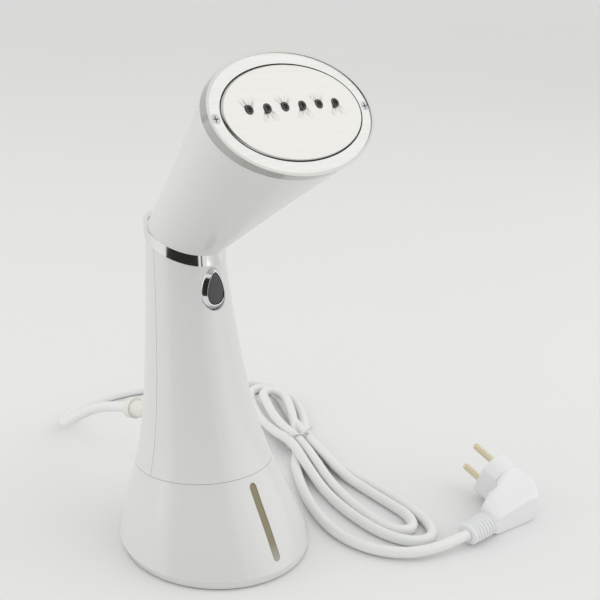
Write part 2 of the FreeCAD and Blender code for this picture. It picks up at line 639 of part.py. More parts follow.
# ---- cord, hank and tie --------------------------------------------------------------------
def make_cord():
    for name, points in (("cord_lead_in", LEAD_IN), ("cord_lead_out", LEAD_OUT)):
        solid, radii, length = sweep(points, CORD_R)
        save(name, solid)
        print(name, "radii", [round(r, 1) for r in radii], "length", round(length, 1))

    def loop(spec):
        centre, half_length, half_width, direction = spec
        body = oval(half_length, half_width, TIE_T, TIE_T + LOOP_H)
        return placed(body, Placement(centre, Rotation(Z, direction)))

    waist = block(WAIST[0], WAIST[1], HANK_H, TIE_T)
    tie_place = Placement(TIE_AT, Rotation(Z, TIE_TURN - 90))
    waist = placed(waist, tie_place)
    neck_slot = block(WAIST[0] + 60, TIE_W, HANK_H + 20, -5)
    neck_keep = block(WAIST[0] - 4, TIE_W + 2, HANK_H - 2, TIE_T)
    hank = loop(LOW_LOOP).fuse([loop(HIGH_LOOP), waist])
    hank = hank.cut(placed(neck_slot, tie_place)).fuse(placed(neck_keep, tie_place))
    save("cord_hank", hank)
    band = block(WAIST[0] - 4 + 2 * TIE_T, TIE_W - 0.4, HANK_H - 2 + 2 * TIE_T, 0)
    band = band.cut(block(WAIST[0] - 4, TIE_W + 2, HANK_H - 2, TIE_T))
    tail = block(2.0, 2.0, 9.0, HANK_H - 2 + 2 * TIE_T)
    tail.translate(Vector(3, 0, -0.3))
    save("cord_tie", placed(band.fuse(tail), tie_place))


# ---- plug ----------------------------------------------------------------------------------
def plug_frame():
    """Origin where the lead enters, local X into the plug, local Y along the pins."""
    along = Vector(PLUG_AXIS).normalize()
    level = Z.cross(along).normalize()
    turned = Rotation(along, PLUG_ROLL)
    pins = turned.multVec(level)
    return Placement(LEAD_OUT[-1], Rotation(along, pins, along.cross(pins), "XYZ"))


def soft_outline(plane, near, far, power):
    """A rounded outline in a tilted plane across the pins.

    plane is the depth on the lead's line and its slopes along X and Z; near and far are each
    (x, low z, high z); power 2 is an oval and higher powers are squarer.
    """
    points = []
    for i in range(24):
        angle = 2 * math.pi * (i + 0.5) / 24
        c, s = math.cos(angle), math.sin(angle)
        across = (1 + math.copysign(abs(c) ** (2 / power), c)) / 2
        up = (1 + math.copysign(abs(s) ** (2 / power), s)) / 2
        x, low, high = [n + (f - n) * across for n, f in zip(near, far)]
        z = low + (high - low) * up
        points.append(Vector(x, plane[0] + plane[1] * (x - RELIEF_L) + plane[2] * z, z))
    curve = Part.BSplineCurve()
    curve.interpolate(points, True)
    return Part.Wire(curve.toShape())


def make_plug():
    place = plug_frame()
    on_x = Rotation(Vector(0, 1, 0), 90)
    relief = Part.makeCone(RELIEF_R, RELIEF_END_R, RELIEF_L)
    groove_step = RELIEF_L / (RIBS + 1.2)
    for i in range(RIBS):
        low = groove_step * (i + 0.9)
        relief = relief.cut(tube(RELIEF_END_R + 2, RELIEF_R - 1.0, low, low + groove_step * 0.35))
    relief = relief.fuse(tube(RELIEF_R + 0.6, 0, 0, groove_step * 0.7))
    relief = placed(relief, Placement(Vector(), on_x))
    widen = FreeCAD.Matrix()
    widen.scale(1.0, RELIEF_WIDE, 1.0)
    save("plug_relief", placed(relief.transformGeometry(widen), place))

    disc_x = RELIEF_L + DISC_AT
    start, disc_back = RELIEF_L, PLUG_FRONT - DISC_T
    near, far = disc_x - DISC_R, disc_x + DISC_R
    body = Part.makeLoft([
        soft_outline((-6.3, -0.14, 0.30), (start + 1.5, -5.0, 6.6), (disc_x - 1, -3.4, 14.5), 6),
        soft_outline((-3.9, -0.09, 0.24), (start, -6.2, 8.0), (disc_x + 5, -4.7, 15.5), 6),
        soft_outline((9.2, -0.06, 0.14), (start + 3, -7.6, 8.6), (far + 0.5, -9.2, 15.5), 4),
        soft_outline((disc_back, 0, 0), (near + 0.5, 0.5 - DISC_R + DISC_RISE, DISC_R + DISC_RISE - 0.5),
                     (far - 0.5, 0.5 - DISC_R + DISC_RISE, DISC_R + DISC_RISE - 0.5), 2)],
        True, True)
    body = body.fuse(Part.makeCylinder(DISC_R, DISC_T, Vector(disc_x, disc_back, DISC_RISE), Y))
    for side in (-1, 1):
        facet = Part.makeBox(10, PLUG_FRONT + 1 - FACET_FROM, FACET_W,
                             Vector(disc_x + side * (FACET_X + 5) - 5, FACET_FROM, DISC_RISE - FACET_W / 2))
        body = body.cut(facet)
    pins, holes = [], []
    for side in (-1, 1):
        root_at = Vector(disc_x, PLUG_FRONT - 8, DISC_RISE + side * PIN_PITCH / 2)
        pin = Part.makeCylinder(PIN_R, PIN_L + 8 - PIN_R, root_at, Y)
        dome = Part.makeSphere(PIN_R)
        dome.translate(root_at + Y * (PIN_L + 8 - PIN_R))
        pins.append(pin.fuse(dome))
        holes.append(Part.makeCylinder(PIN_R, 12, root_at, Y))
    save("plug_body", placed(body.cut(holes[0]).cut(holes[1]), place))
    save("plug_pins", placed(Part.makeCompound(pins), place))


make_tank()
make_handle_covers([make_trigger(), make_mains_entry()])
make_neck_ring()
make_water_path()
make_head()
make_cord()
make_plug()
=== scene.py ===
"""Looks for a hand-held garment steamer that stands on its water tank."""
import math

import bmesh
import bpy
from bpy.props import FloatProperty, FloatVectorProperty, IntProperty, PointerProperty
from mathutils import Matrix, Vector


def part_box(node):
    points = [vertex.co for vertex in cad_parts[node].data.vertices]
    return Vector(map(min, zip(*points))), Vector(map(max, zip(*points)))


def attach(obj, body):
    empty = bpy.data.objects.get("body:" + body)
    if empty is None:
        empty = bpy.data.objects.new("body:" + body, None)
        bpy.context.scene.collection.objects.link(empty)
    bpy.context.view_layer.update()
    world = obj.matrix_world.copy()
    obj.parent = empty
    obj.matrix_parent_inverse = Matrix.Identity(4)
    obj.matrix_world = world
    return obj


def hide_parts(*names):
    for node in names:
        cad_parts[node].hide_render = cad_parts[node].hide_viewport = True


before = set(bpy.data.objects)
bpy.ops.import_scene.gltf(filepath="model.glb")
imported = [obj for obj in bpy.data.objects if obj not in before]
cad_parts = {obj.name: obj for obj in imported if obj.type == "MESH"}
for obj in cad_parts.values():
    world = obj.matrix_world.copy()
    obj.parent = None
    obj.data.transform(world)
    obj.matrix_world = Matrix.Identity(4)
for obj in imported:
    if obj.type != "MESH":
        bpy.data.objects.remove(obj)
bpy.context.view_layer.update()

bl_info = {
    "name": "Garment steamer looks",
    "version": (1, 0, 0),
    "blender": (4, 5, 0),
    "location": "View3D > Sidebar > Steamer",
    "description": "Builds the soft pieces and finishes of a hand-held garment steamer",
    "category": "Object",
}

MM = 0.001

# Places and sizes in millimetres that the detailed pieces share with the CAD pieces under them.
FACE_CENTRE = (0, -47, 274.6)
FACE_PITCH = math.radians(33.9)
PLATE_HALF_WIDTH = 49.6
PLATE_HALF_HEIGHT = 26.9
PLATE_THICKNESS = 1.4
HOLE_COUNT = 6
HOLE_STEP = 12.5
HOLE_RISE = 3.2
TRIGGER_PITCH = math.radians(8)
TRIGGER_HEIGHT = 163.9
BEZEL_FORWARD = 3.32
RELIEF_LENGTH = 22
RELIEF_WIDENING = 1.28

# The cord's route in millimetres: out of the gland, through the tied hank, to the plug.
LEAD_IN = [(0, 91, 56.5), (-2, 108, 52), (-4, 127, 44), (-5, 146, 31), (-2, 164, 18), (5, 182, 9),
           (20, 199, 3.7), (43, 208, 3.7), (69, 210, 3.7), (96, 206, 3.7), (121, 195, 3.7),
           (143, 184, 3.7)]
HANK = [(163, 173, 3.7), (180, 160, 3.7), (187, 141, 3.7), (183, 117, 3.7), (168.5, 92, 3.7),
        (149, 69, 3.7), (136, 57, 3.7), (129, 46, 3.7),
        (126.5, 28, 3.7), (126, 4, 3.7), (124, -30, 3.7), (120, -62, 3.7), (113, -83, 3.7),
        (101, -92, 3.7), (88.5, -87, 3.7), (81.5, -72, 3.7), (81, -54, 3.7), (84.5, -30, 3.7),
        (92, -5, 3.7), (103, 22, 7.4), (112, 43, 10.9), (117, 56, 10.9),
        (122, 76, 8), (134, 101, 3.7), (148, 126, 3.7), (157.5, 141, 3.7), (165.5, 149, 3.7),
        (174.5, 150, 3.7), (179.5, 142.5, 3.7), (177, 128, 3.7), (164, 105, 3.7), (151, 84, 5),
        (139, 64, 9.5), (130.5, 48, 10.9),
        (123.5, 26, 9.6), (118, 0, 4.4), (115.5, -28, 3.7), (113.5, -48, 3.7), (112, -62, 3.7),
        (106, -73, 3.7), (97.5, -76.5, 3.7), (90, -70, 3.7), (88.8, -56, 3.7), (93, -30, 3.7),
        (103, 0, 4.5), (114, 26, 8.5), (123.5, 50, 10.9),
        (129, 75, 10.9), (140, 98, 10.6), (150, 114, 10.6), (157, 126.5, 10.6), (164, 130, 10.6),
        (170.5, 126, 10.6), (171.5, 117, 10.6), (164, 104, 10.6), (150, 84, 9), (135, 66, 5.2),
        (121, 50.5, 3.7), (111.5, 41, 3.7)]
LEAD_OUT = [(103, 34, 3.7), (87, 13, 3.7), (73, -9, 3.7), (62, -33, 3.7), (57.5, -56, 3.7),
            (61.5, -77, 3.9), (74, -94.5, 4.8), (93, -104.5, 6.4), (117, -107.5, 7.9)]
TIE_AT = Vector((124, 52, 0))
TIE_TURN = math.radians(72)


# ---- shader helpers ------------------------------------------------------------------------
class Val:
    """A number running through the shader tree, with ordinary arithmetic."""

    def __init__(self, tree, socket):
        self.tree = tree
        self.socket = socket

    def _math(self, operation, left, right):
        return self.tree.add("ShaderNodeMath", {"operation": operation}, {0: left, 1: right})

    def __add__(self, other):
        return self._math("ADD", self, other)

    def __radd__(self, other):
        return self._math("ADD", other, self)

    def __sub__(self, other):
        return self._math("SUBTRACT", self, other)

    def __rsub__(self, other):
        return self._math("SUBTRACT", other, self)

    def __mul__(self, other):
        return self._math("MULTIPLY", self, other)

    def __rmul__(self, other):
        return self._math("MULTIPLY", other, self)


class Finish:
    """One procedural material, built node by node."""

    def __init__(self, name):
        self.material = bpy.data.materials.new(name)
        self.material.use_nodes = True
        self.nodes = self.material.node_tree.nodes
        self.links = self.material.node_tree.links
        self.surface = self.nodes["Principled BSDF"]
        self.place = self.nodes.new("ShaderNodeTexCoord").outputs["Object"]

    def add(self, kind, settings, inputs, out=0):
        node = self.nodes.new(kind)
        for name, value in settings.items():
            if name == "stops":
                ramp = node.color_ramp
                while len(ramp.elements) < len(value):
                    ramp.elements.new(0.5)
                for element, (at, colour) in zip(ramp.elements, value):
                    element.position = at
                    element.color = colour
            else:
                setattr(node, name, value)
        for name, value in inputs.items():
            self.feed(node.inputs[name], value)
        return Val(self, node.outputs[out])

    def feed(self, socket, value):
        if isinstance(value, Val):
            value = value.socket
        if isinstance(value, bpy.types.NodeSocket):
            self.links.new(value, socket)
        else:
            socket.default_value = value

    def fixed(self, **values):
        for name, value in values.items():
            self.surface.inputs[name.replace("_", " ")].default_value = value

    def varied(self, name, value):
        self.feed(self.surface.inputs[name], value)

    def noise(self, scale, detail, place=None, roughness=0.5):
        return self.add("ShaderNodeTexNoise", {"noise_dimensions": "3D"},
                        {"Vector": place or self.place, "Scale": scale, "Detail": detail,
                         "Roughness": roughness})

    def stretched(self, scale):
        return self.add("ShaderNodeMapping", {}, {"Vector": self.place, "Scale": scale})

    def blend(self, factor, a, b):
        return self.add("ShaderNodeMix", {"data_type": "RGBA"}, {0: factor, 6: a, 7: b}, out=2)

    def relief(self, height, distance):
        self.varied("Normal", self.add("ShaderNodeBump", {}, {
            "Height": height, "Distance": distance, "Strength": 1.0}))


def rgba(colour, gain=1.0):
    return (colour[0] * gain, colour[1] * gain, colour[2] * gain, 1.0)


def moulded(name, colour, roughness=0.3, coat=0.0, grain=900, depth=0.00002, cloud=0.03):
    """Moulded plastic: faint cloudiness, fine grain, uneven gloss."""
    finish = Finish(name)
    finish.fixed(IOR=1.5, Coat_Weight=coat, Coat_Roughness=0.08)
    clouds = finish.noise(14, 3)
    fine = finish.noise(grain, 2)
    dull, bright = rgba(colour, 1 - cloud), rgba(colour, 1 + cloud)
    finish.varied("Base Color", finish.blend(clouds, dull, bright))
    finish.varied("Roughness", roughness - 0.05 + clouds * 0.07 + fine * 0.04)
    finish.relief(fine + clouds * 0.6, depth)
    return finish.material


def metal(name, colour, roughness, brush=(300, 300, 300), depth=0.00002, streak=0.1):
    """Metal or plating; brush is the stretch of its fine streaks."""
    finish = Finish(name)
    finish.fixed(Metallic=1.0)
    lines = finish.noise(1.0, 4, finish.stretched(brush), 0.7)
    smudge = finish.noise(28, 3)
    finish.varied("Base Color", finish.blend(lines, rgba(colour, 1 - streak), rgba(colour, 1.0)))
    finish.varied("Roughness", roughness - 0.06 + lines * 0.08 + smudge * 0.05)
    finish.relief(lines, depth)
    return finish.material


# ---- mesh helpers --------------------------------------------------------------------------
def made(name, mesh, material):
    """Turns a bmesh into an object with one material."""
    data = bpy.data.meshes.new(name)
    mesh.to_mesh(data)
    mesh.free()
    data.materials.append(material)
    obj = bpy.data.objects.new(name, data)
    bpy.context.collection.objects.link(obj)
    return obj


def settle(obj, body, replaces):
    """Ties an object to its body and the CAD pieces it stands in for."""
    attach(obj, body)
    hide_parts(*replaces)


def piece(name, mesh, body, replaces, material):
    """Turns a bmesh in millimetres into a finished, riding object in metres."""
    bmesh.ops.scale(mesh, vec=(MM, MM, MM), verts=mesh.verts)
    bmesh.ops.recalc_face_normals(mesh, faces=mesh.faces)
    for face in mesh.faces:
        face.smooth = True
    obj = made(name, mesh, material)
    settle(obj, body, replaces)
    return obj


def smoothing(obj, levels):
    modifier = obj.modifiers.new("smoothing", "SUBSURF")
    modifier.levels = modifier.render_levels = levels


def placed(mesh, matrix):
    bmesh.ops.transform(mesh, matrix=matrix, verts=mesh.verts)


def basis(origin, x_axis, y_axis):
    x = Vector(x_axis).normalized()
    y = Vector(y_axis).normalized()
    z = x.cross(y)
    return Matrix.Translation(origin) @ Matrix((x, y, z)).transposed().to_4x4()


def ring(mesh, count, shape):
    """A closed loop of edges whose corners shape(turn) gives."""
    corners = bmesh.ops.create_circle(mesh, cap_ends=False, radius=1, segments=count)["verts"]
    for vert in corners:
        vert.co = shape(math.atan2(vert.co.y, vert.co.x))
    # In order and without repeats, so that each run bridges the same corners.
    return list(dict.fromkeys(e for v in corners for e in v.link_edges))


def skin(mesh, rings, caps=(True, True)):
    """Bridges rings in order and closes the ends."""
    for a, b in zip(rings, rings[1:]):
        bmesh.ops.bridge_loops(mesh, edges=a + b)
    for wanted, edges in zip(caps, (rings[0], rings[-1])):
        if wanted:
            bmesh.ops.edgeloop_fill(mesh, edges=edges)


def pitched(origin, pitch):
    """Local X across, local Y up along a surface that leans back by pitch, local Z outwards."""
    return basis(origin, (1, 0, 0), (0, math.sin(pitch), math.cos(pitch)))


def face_basis():
    return pitched(FACE_CENTRE, FACE_PITCH)


def hole_centres():
    """The steam holes' centres on the plate, from one side to the other."""
    return [((i - (HOLE_COUNT - 1) / 2) * HOLE_STEP, HOLE_RISE) for i in range(HOLE_COUNT)]


def trigger_basis():
    """Origin on the handle's front at the trigger, local Y up, local Z outwards."""
    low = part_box("trigger_bezel")[0]
    return pitched((0, low[1] / MM + BEZEL_FORWARD, TRIGGER_HEIGHT), TRIGGER_PITCH)


# ---- settings ------------------------------------------------------------------------------
class STEAMER_PG_sizes(bpy.types.PropertyGroup):
    cord_diameter: FloatProperty(name="Cord diameter", unit="LENGTH", default=0.007,
                                 description="Outside diameter of the mains cord")
    dimple_depth: FloatProperty(name="Dimple depth", default=0.75,
                                description="How deep the pressed dimples run, mm")
    dimple_length: FloatProperty(name="Dimple length", description="Length of one pressed ray, mm",
                                 default=8.5)
    plate_segments: IntProperty(name="Plate detail", description="Divisions across the steam plate",
                                default=230)
    rib_count: IntProperty(name="Strain relief ribs", default=6,
                           description="Ribs on the plug's strain relief")


class STEAMER_PG_colours(bpy.types.PropertyGroup):
    body: FloatVectorProperty(name="Body", description="Moulded covers and tank", subtype="COLOR",
                              default=(0.72, 0.72, 0.71))
    cord: FloatVectorProperty(name="Cord", description="Cord jacket", subtype="COLOR",
                              default=(0.82, 0.83, 0.82))
    window: FloatVectorProperty(name="Window", description="Water level window", subtype="COLOR",
                                default=(0.22, 0.19, 0.095))
    button: FloatVectorProperty(name="Button", description="Trigger button", subtype="COLOR",
                                default=(0.055, 0.055, 0.058))
    plate: FloatVectorProperty(name="Plate", description="Steam plate", subtype="COLOR",
                               default=(0.70, 0.69, 0.665))


# ---- cord ----------------------------------------------------------------------------------
class STEAMER_OT_cord(bpy.types.Operator):
    """The mains cord: out of the gland, through the tied hank, to the plug"""
    bl_idname = "steamer.cord"
    bl_label = "Cord"

    def execute(self, context):
        sizes, colours = context.scene.steamer_sizes, context.scene.steamer_colours
        route = LEAD_IN + HANK + LEAD_OUT
        curve = bpy.data.curves.new("mains_cord", "CURVE")
        curve.dimensions = "3D"
        curve.bevel_depth = sizes.cord_diameter / 2
        curve.bevel_resolution = 6
        curve.use_fill_caps = True
        spline = curve.splines.new("NURBS")
        spline.points.add(len(route) - 1)
        for point, at in zip(spline.points, route):
            point.co = (at[0] * MM, at[1] * MM, at[2] * MM, 1)
        spline.order_u = 3
        spline.use_endpoint_u = True
        spline.resolution_u = 10
        cord = bpy.data.objects.new("mains_cord", curve)
        context.collection.objects.link(cord)
        curve.materials.append(moulded("cord_jacket", colours.cord, 0.36, grain=700, cloud=0.02))
        settle(cord, "handle", ("cord_lead_in", "cord_lead_out", "cord_hank"))
        self.measured(route)
        return {"FINISHED"}

    @staticmethod
    def measured(route):
        """Length in metres of the smooth line that a route's points pull."""
        cuts = 16
        route = [Vector(at) * MM for at in route]
        stops = [route[0]] + [(a + b) / 2 for a, b in zip(route[1:-2], route[2:-1])] + [route[-1]]
        total = 0.0
        for start, pull, end in zip(stops, route[1:-1], stops[1:]):
            line = [start.lerp(pull, t / cuts).lerp(pull.lerp(end, t / cuts), t / cuts)
                    for t in range(cuts + 1)]
            total += sum((b - a).length for a, b in zip(line, line[1:]))
        return total


class STEAMER_OT_tie(bpy.types.Operator):
    """The coated wire tie round the hank, its ends twisted together"""
    bl_idname = "steamer.tie"
    bl_label = "Wire tie"

    def execute(self, context):
        mesh = bmesh.new()
        place = Matrix.Translation(TIE_AT) @ Matrix.Rotation(TIE_TURN - math.pi / 2, 4, "Z")
        middle, half_height, top = 7.4, 7.0, 15
        half_foot, spread, squareness = 7.4, 4.1, 0.55
        twist, tail_stations, tail_turn = 0.7, 13, 0.85

        def band(grow):
            def shape(turn):
                c, s = math.cos(turn), math.sin(turn)
                z = middle + (half_height + grow) * math.copysign(abs(s) ** squareness, s)
                lift = z / top
                half = half_foot + spread * lift + grow
                across = half * math.copysign(abs(c) ** squareness, c)
                return Vector((1.4 - 1.9 * lift + across, 0, z))
            return shape

        rings = []
        for y, grow in ((-1.5, 0.0), (-1.5, 0.5), (1.5, 0.5), (1.5, 0.0)):
            edges = ring(mesh, 40, band(grow))
            for vert in {v for e in edges for v in e.verts}:
                vert.co.y = y
            rings.append(edges)
        skin(mesh, rings + [rings[0]], caps=(False, False))
        for phase in (0, math.pi):
            tail = []
            for i in range(tail_stations):
                turn = phase + i * tail_turn
                at = Vector((4.5 + i * 0.55 + twist * math.cos(turn), twist * math.sin(turn),
                             15.0 + i * 0.28))
                tail.append(ring(mesh, 8, lambda a, at=at: at + Vector(
                    (0, 0.75 * math.cos(a), 0.55 * math.sin(a)))))
            skin(mesh, tail)
        placed(mesh, place)
        tie = piece("wire_tie", mesh, "handle", ("cord_tie",),
                    moulded("tie_coating", (0.70, 0.71, 0.71), 0.42, grain=500))
        smoothing(tie, 1)
        return {"FINISHED"}


# ---- plug ----------------------------------------------------------------------------------
def plug_basis():
    along = Vector((1, 0.01, 0)).normalized()
    level = Vector((0, 0, 1)).cross(along).normalized()
    pins = Matrix.Rotation(math.radians(19), 4, along) @ level
    return basis(LEAD_OUT[-1], along, pins)


class STEAMER_OT_plug(bpy.types.Operator):
    """The moulded two-pin plug and its ribbed strain relief"""
    bl_idname = "steamer.plug"
    bl_label = "Plug"

    def execute(self, context):
        sizes = context.scene.steamer_sizes
        white = moulded("plug_moulding", (0.82, 0.83, 0.83), 0.4, grain=800, depth=0.00003)
        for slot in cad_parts["plug_body"].material_slots:
            slot.material = white

        mesh = bmesh.new()
        step = RELIEF_LENGTH / (sizes.rib_count + 1.4)
        stations = [(0.0, 4.4), (0.2, 5.6), (0.6, 5.9), (step * 0.72, 6.0), (step * 0.8, 5.7)]
        for i in range(sizes.rib_count):
            low = step * (i + 1.0)
            grown = 6.0 + 0.45 * (i + 1) / sizes.rib_count
            stations += [(low - step * 0.14, 4.7), (low, 4.7), (low + step * 0.06, grown - 0.25),
                         (low + step * 0.14, grown), (low + step * 0.56, grown),
                         (low + step * 0.64, grown - 0.25), (low + step * 0.7, 4.7)]
        stations += [(21.0, 4.8), (21.3, 6.2), (22.4, 6.3)]
        rings = [ring(mesh, 48, lambda a, x=x, r=r: Vector(
            (x, RELIEF_WIDENING * r * math.cos(a), r * math.sin(a)))) for x, r in stations]
        skin(mesh, rings)
        placed(mesh, plug_basis())
        piece("plug_strain_relief", mesh, "handle", ("plug_relief",), white)
        return {"FINISHED"}


# ---- face ----------------------------------------------------------------------------------
class STEAMER_OT_plate(bpy.types.Operator):
    """The pressed steam plate, with dimples that fan out from each steam hole"""
    bl_idname = "steamer.plate"
    bl_label = "Steam plate"

    def execute(self, context):
        sizes, colours = context.scene.steamer_sizes, context.scene.steamer_colours
        mesh = bmesh.new()
        bmesh.ops.create_grid(mesh, x_segments=sizes.plate_segments,
                              y_segments=sizes.plate_segments * 3 // 5, size=1)
        holes = [(x, y, 1 if i % 2 == 0 else -1) for i, (x, y) in enumerate(hole_centres())]
        flat, curl, flat_share, rolled_share = 0.3, 0.9, 0.972, 0.028
        for vert in mesh.verts:
            u, v = vert.co.x, vert.co.y
            x = PLATE_HALF_WIDTH * u * math.sqrt(1 - v * v / 2)
            y = PLATE_HALF_HEIGHT * v * math.sqrt(1 - u * u / 2)
            edge = math.sqrt((x / PLATE_HALF_WIDTH) ** 2 + (y / PLATE_HALF_HEIGHT) ** 2)
            z = flat - curl * max(0.0, (edge - flat_share) / rolled_share) ** 2
            for hole_x, hole_y, way in holes:
                z -= self.pressed(x - hole_x, (y - hole_y) * way, sizes)
            vert.co = (x, y, z)
        rim = [e for e in mesh.edges if e.is_boundary]
        wall = bmesh.ops.extrude_edge_only(mesh, edges=rim)["geom"]
        bmesh.ops.translate(mesh, vec=(0, 0, -PLATE_THICKNESS),
                            verts=[g for g in wall if isinstance(g, bmesh.types.BMVert)])
        bmesh.ops.holes_fill(mesh, edges=[e for e in mesh.edges if e.is_boundary], sides=0)
        placed(mesh, face_basis())
        sheet = metal("pressed_sheet", colours.plate, 0.33, (6, 420, 420), depth=0.00004,
                      streak=0.12)
        piece("pressed_plate", mesh, "handle", ("steam_plate",), sheet)
        return {"FINISHED"}

    @staticmethod
    def pressed(x, y, sizes):
        """Depth of one hole's dimple: a round well and two rays that open upwards."""
        far = math.hypot(x, y)
        depth = 0.22 * math.exp(-(far / 3.6) ** 4) + 1.3 * math.exp(-(far / 2.25) ** 12)
        for lean in (-0.58, 0.58):
            dx, dy = math.sin(lean), math.cos(lean)
            along = x * dx + y * dy
            aside = abs(x * dy - y * dx)
            if 0 < along < sizes.dimple_length * 1.15:
                share = along / sizes.dimple_length
                width = 0.75 + 1.3 * share
                fade = math.sin(math.pi * min(1.0, max(0.0, 0.12 + share * 0.88))) ** 0.8
                depth += sizes.dimple_depth * fade * math.exp(-(aside / width) ** 2)
        return depth


class STEAMER_OT_nozzles(bpy.types.Operator):
    """Six dark eyelets that line the steam holes; each is closed a millimetre down by a near-black
    floor, painted shade for the depth of the hole
    """
    bl_idname = "steamer.nozzles"
    bl_label = "Steam nozzles"

    def execute(self, context):
        mesh = bmesh.new()
        for centre in hole_centres():
            at = Vector((*centre, 0))
            rings = [ring(mesh, 32, lambda a, r=r, z=z, at=at: at + Vector(
                (r * math.cos(a), r * math.sin(a), z)))
                     for r, z in ((2.75, -1.2), (2.75, 0.0), (2.55, 0.4), (2.1, 0.5), (1.65, 0.3),
                                  (1.4, -0.15), (1.35, -1.0), (0.2, -1.05))]
            skin(mesh, rings, caps=(False, True))
        placed(mesh, face_basis())
        # One near-black finish: the eyelet's own dark plastic on the ring, and painted shade on the
        # floor that closes each hole a millimetre down.
        piece("steam_eyelets", mesh, "handle", ("steam_nozzles",),
              moulded("eyelet_plastic_and_painted_hole_shade", (0.065, 0.06, 0.058), 0.3, grain=1500))
        return {"FINISHED"}


# ---- trigger -------------------------------------------------------------------------------
class STEAMER_OT_trigger(bpy.types.Operator):
    """The drop-shaped trigger: plated bezel and dark domed button with a bright edge"""
    bl_idname = "steamer.trigger"
    bl_label = "Trigger"

    @staticmethod
    def drop(inward, z):
        """An egg, narrow end up; inward runs from 0 at the foot to 1 at the button's gap."""
        wide, tall = 8.75 - 2.85 * inward, 12.65 - 2.95 * inward
        point, lift = 0.20 + 0.16 * inward, -2.05 + 0.5 * inward

        def shape(turn):
            turn += math.pi / 2
            return Vector((wide * math.sin(turn) * (1 + point * math.cos(turn)),
                           lift - tall * math.cos(turn), z))
        return shape

    def execute(self, context):
        place = trigger_basis()
        chrome = metal("bezel_plating", (0.80, 0.81, 0.82), 0.1, streak=0.02, depth=0.000004)
        mesh = bmesh.new()
        section = [(0.03, -6.0), (0.0, -1.5), (0.04, -0.9), (0.16, -0.45), (0.42, 0.35),
                   (0.66, 1.1), (0.8, 1.55), (0.89, 1.7), (0.97, 1.6), (1.0, 1.2), (1.0, -6.0)]
        rings = [ring(mesh, 72, self.drop(g, z)) for g, z in section]
        skin(mesh, rings + [rings[0]], caps=(False, False))
        placed(mesh, place)
        piece("plated_bezel", mesh, "handle", ("trigger_bezel",), chrome)

        mesh = bmesh.new()
        rings = [ring(mesh, 72, self.drop(g, z))
                 for g, z in ((1.1, -4.0), (1.1, 0.95), (1.14, 1.25), (1.24, 1.4))]
        for shrink, z in ((0.8, 1.5), (0.6, 1.56), (0.4, 1.6), (0.15, 1.62)):
            edge = self.drop(1.24, z)
            rings.append(ring(mesh, 72, lambda a, s=shrink, edge=edge, z=z: Vector(
                (edge(a).x * s, -3.0 + (edge(a).y + 3.0) * s, z))))
        skin(mesh, rings)
        placed(mesh, place)
        dark = moulded("button_plastic", context.scene.steamer_colours.button, 0.35, grain=700,
                       depth=0.00004, cloud=0.12)
        piece("button_pad", mesh, "trigger", ("trigger_button",), dark)
        return {"FINISHED"}


# ---- finishes on the CAD pieces that are kept ----------------------------------------------
def window_finish(colour):
    """Smoky clear plastic with water showing faintly behind it."""
    finish = Finish("level_window")
    height = finish.add("ShaderNodeSeparateXYZ", {}, {0: finish.place}, out=2)
    fade = finish.add("ShaderNodeMapRange", {}, {0: height, 1: 0.010, 2: 0.020, 3: 1.0, 4: 0.0})
    clouds = finish.noise(60, 3)
    body = finish.blend(clouds, rgba(colour, 0.92), rgba(colour, 1.1))
    finish.varied("Base Color", finish.blend(fade, body, (0.36, 0.35, 0.33, 1)))
    finish.varied("Roughness", 0.16 + clouds * 0.08)
    finish.fixed(IOR=1.49, Coat_Weight=0.4)
    finish.relief(clouds, 0.00003)
    return finish.material


